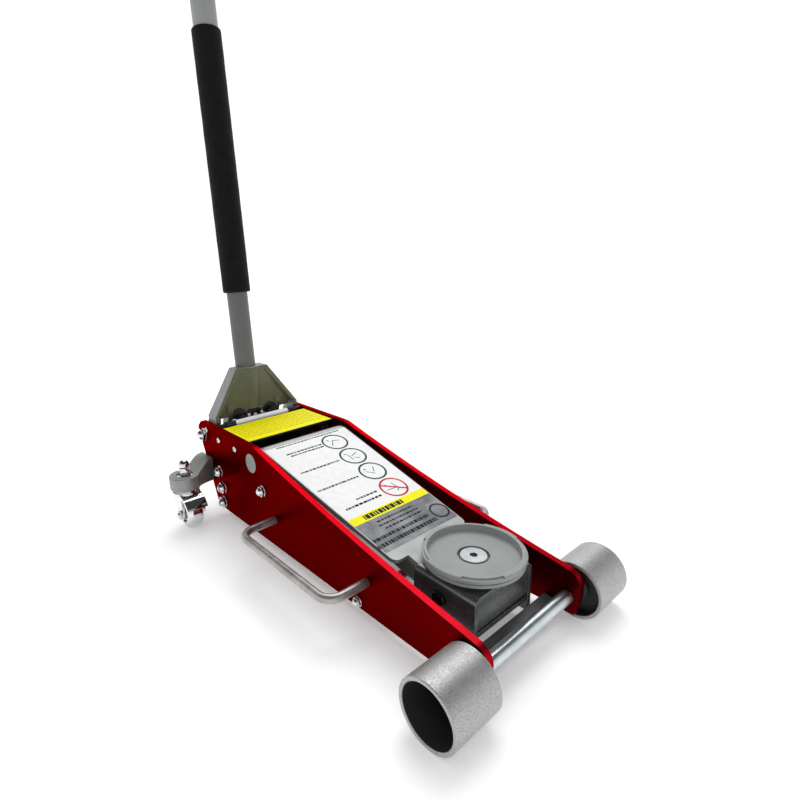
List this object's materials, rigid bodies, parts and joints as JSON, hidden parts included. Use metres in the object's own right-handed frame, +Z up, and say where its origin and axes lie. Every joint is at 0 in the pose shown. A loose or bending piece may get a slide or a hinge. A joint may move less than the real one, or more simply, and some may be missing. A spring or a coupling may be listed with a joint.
{
  "type": "hydraulic trolley jack",
  "caption": "Low-profile hydraulic trolley jack with side plates, saddle on a lift arm, front rollers, rear swivel casters and an upright pump handle.",
  "frame": {"origin": "on the floor, under the middle of the jack's overall length and width at rest", "axes": "+X towards the saddle end, +Y towards the left-hand side plate, +Z up"},
  "size_m": [0.7336, 0.346, 1.2411],
  "materials": {
    "plate_red": "red anodised, satin",
    "arm_grey": "silver-grey paint, satin",
    "bracket_grey": "dark grey paint, satin",
    "saddle_grey": "cast, grey paint, satin",
    "yoke_grey": "cast, grey paint, satin",
    "handle_grey": "grey powder coat, satin",
    "cast_alu": "shot-blasted casting",
    "cast_arm": "cast, silver-grey paint",
    "zinc": "bright zinc plate",
    "chrome": "chrome plate, polished",
    "wheel_steel": "polished steel",
    "satin_steel": "satin nickel plate",
    "black_steel": "black paint",
    "black_parts": "black oxide casting",
    "cover_yellow": "black plate with yellow film",
    "foam": "closed-cell foam, matt",
    "grip_rubber": "moulded rubber",
    "spring_steel": "spring steel, oiled"
  },
  "bodies": {
    "frame": {"side_plate_left": "plate_red", "side_plate_right": "plate_red", "carry_handle_left": "satin_steel", "carry_handle_right": "satin_steel", "caster_arm_left": "cast_arm", "caster_arm_right": "cast_arm", "front_cross_plate": "bracket_grey", "front_axle": "zinc", "axle_spacers": "zinc", "axle_nuts": "zinc", "rear_cross_plate": "black_steel", "tie_bar": "zinc", "cover_plate": "cover_yellow", "plate_screws": "chrome", "frame_nuts": "chrome", "link_bolts": "chrome", "handle_pivot_bolts": "chrome", "inner_nuts": "zinc", "arm_pivot_shaft": "zinc", "hydraulic_block": "black_parts", "hydraulic_mount_bars": "black_steel", "ram_cylinder": "black_parts", "cylinder_gland": "black_parts", "block_plugs": "zinc", "spring_anchor": "black_steel", "guard_rod": "black_steel", "guard_sleeve": "zinc", "return_springs": "spring_steel"},
    "roller_left": {"roller_left": "cast_alu"},
    "roller_right": {"roller_right": "cast_alu"},
    "caster_left": {"caster_fork_left": "chrome", "caster_bolts_left": "chrome"},
    "caster_right": {"caster_fork_right": "chrome", "caster_bolts_right": "chrome"},
    "caster_wheel_left": {"caster_wheel_left": "wheel_steel"},
    "caster_wheel_right": {"caster_wheel_right": "wheel_steel"},
    "yoke": {"handle_yoke": "yoke_grey", "pump_rollers": "black_steel"},
    "handle": {"handle_lower_tube": "handle_grey", "handle_upper_tube": "handle_grey", "foam_grip": "foam", "handle_end_grip": "grip_rubber", "handle_drive_end": "wheel_steel"},
    "release_valve": {"release_valve": "wheel_steel"},
    "pump": {"pump_plungers": "chrome", "pump_springs": "spring_steel"},
    "lift_arm": {"lift_arm_top_plate": "arm_grey", "lift_arm_cheeks": "black_steel", "lift_arm_pivot_tube": "black_steel", "ram_pin": "zinc", "saddle_pins": "zinc"},
    "ram": {"crosshead": "black_steel", "ram_rod": "chrome", "spring_pin": "zinc"},
    "links": {"link_bar_left": "zinc", "link_bar_right": "zinc"},
    "bracket": {"saddle_bracket": "bracket_grey", "bracket_link_pins": "zinc"},
    "saddle": {"saddle": "saddle_grey", "saddle_screw": "zinc"}
  },
  "joints": [
    {"name": "roller_left_spin", "type": "hinge", "parent": "frame", "child": "roller_left", "pos_m": [0.3315, 0.13, 0.0353], "axis": [0, 1, 0], "continuous": true},
    {"name": "roller_right_spin", "type": "hinge", "parent": "frame", "child": "roller_right", "pos_m": [0.3315, -0.13, 0.0353], "axis": [0, 1, 0], "continuous": true},
    {"name": "caster_left_swivel", "type": "hinge", "parent": "frame", "child": "caster_left", "pos_m": [-0.2185, 0.1485, 0.075], "axis": [0, 0, 1], "continuous": true},
    {"name": "caster_right_swivel", "type": "hinge", "parent": "frame", "child": "caster_right", "pos_m": [-0.2185, -0.1485, 0.075], "axis": [0, 0, 1], "continuous": true},
    {"name": "caster_left_roll", "type": "hinge", "parent": "caster_left", "child": "caster_wheel_left", "pos_m": [-0.206, 0.1485, 0.0245], "axis": [0, 1, 0], "continuous": true},
    {"name": "caster_right_roll", "type": "hinge", "parent": "caster_right", "child": "caster_wheel_right", "pos_m": [-0.206, -0.1485, 0.0245], "axis": [0, 1, 0], "continuous": true},
    {"name": "handle_pump", "type": "hinge", "parent": "frame", "child": "yoke", "pos_m": [-0.2545, 0, 0.133], "axis": [0, -1, 0], "range_deg": [0, 65]},
    {"name": "handle_twist", "type": "hinge", "parent": "yoke", "child": "handle", "pos_m": [-0.2545, 0, 0.133], "axis": [-0.0802, 0, 0.9968], "range_deg": [0, 180]},
    {"name": "valve_turn", "type": "hinge", "parent": "frame", "child": "release_valve", "pos_m": [-0.2545, 0, 0.133], "axis": [0, 0, 1], "range_deg": [0, 180]},
    {"name": "pump_stroke", "type": "slide", "parent": "frame", "child": "pump", "axis": [1, 0, 0], "range_m": [0, 0.02157], "deforming": ["pump_springs"]},
    {"name": "arm_lift", "type": "hinge", "parent": "frame", "child": "lift_arm", "pos_m": [-0.0935, 0, 0.127], "axis": [0, -1, 0], "range_deg": [0, 68]},
    {"name": "ram_extend", "type": "slide", "parent": "frame", "child": "ram", "axis": [1, 0, 0], "range_m": [0, 0.0616], "deforming": ["return_springs"]},
    {"name": "link_lift", "type": "hinge", "parent": "frame", "child": "links", "pos_m": [-0.0615, 0, 0.093], "axis": [0, -1, 0], "range_deg": [0, 68]},
    {"name": "bracket_level", "type": "hinge", "parent": "lift_arm", "child": "bracket", "pos_m": [0.2515, 0, 0.058], "axis": [0, -1, 0], "range_deg": [-68, 0]},
    {"name": "saddle_spin", "type": "hinge", "parent": "bracket", "child": "saddle", "pos_m": [0.2565, 0, 0.085], "axis": [0, 0, 1], "continuous": true}
  ],
  "couplings": [
    {"joint": "valve_turn", "follows": "handle_twist", "ratio": 1},
    {"joint": "pump_stroke", "follows": "handle_pump", "m_per_rad": 0.018927},
    {"joint": "ram_extend", "follows": "arm_lift", "m_per_rad": 0.051821},
    {"joint": "link_lift", "follows": "arm_lift", "ratio": 1},
    {"joint": "bracket_level", "follows": "arm_lift", "ratio": -1}
  ]
}
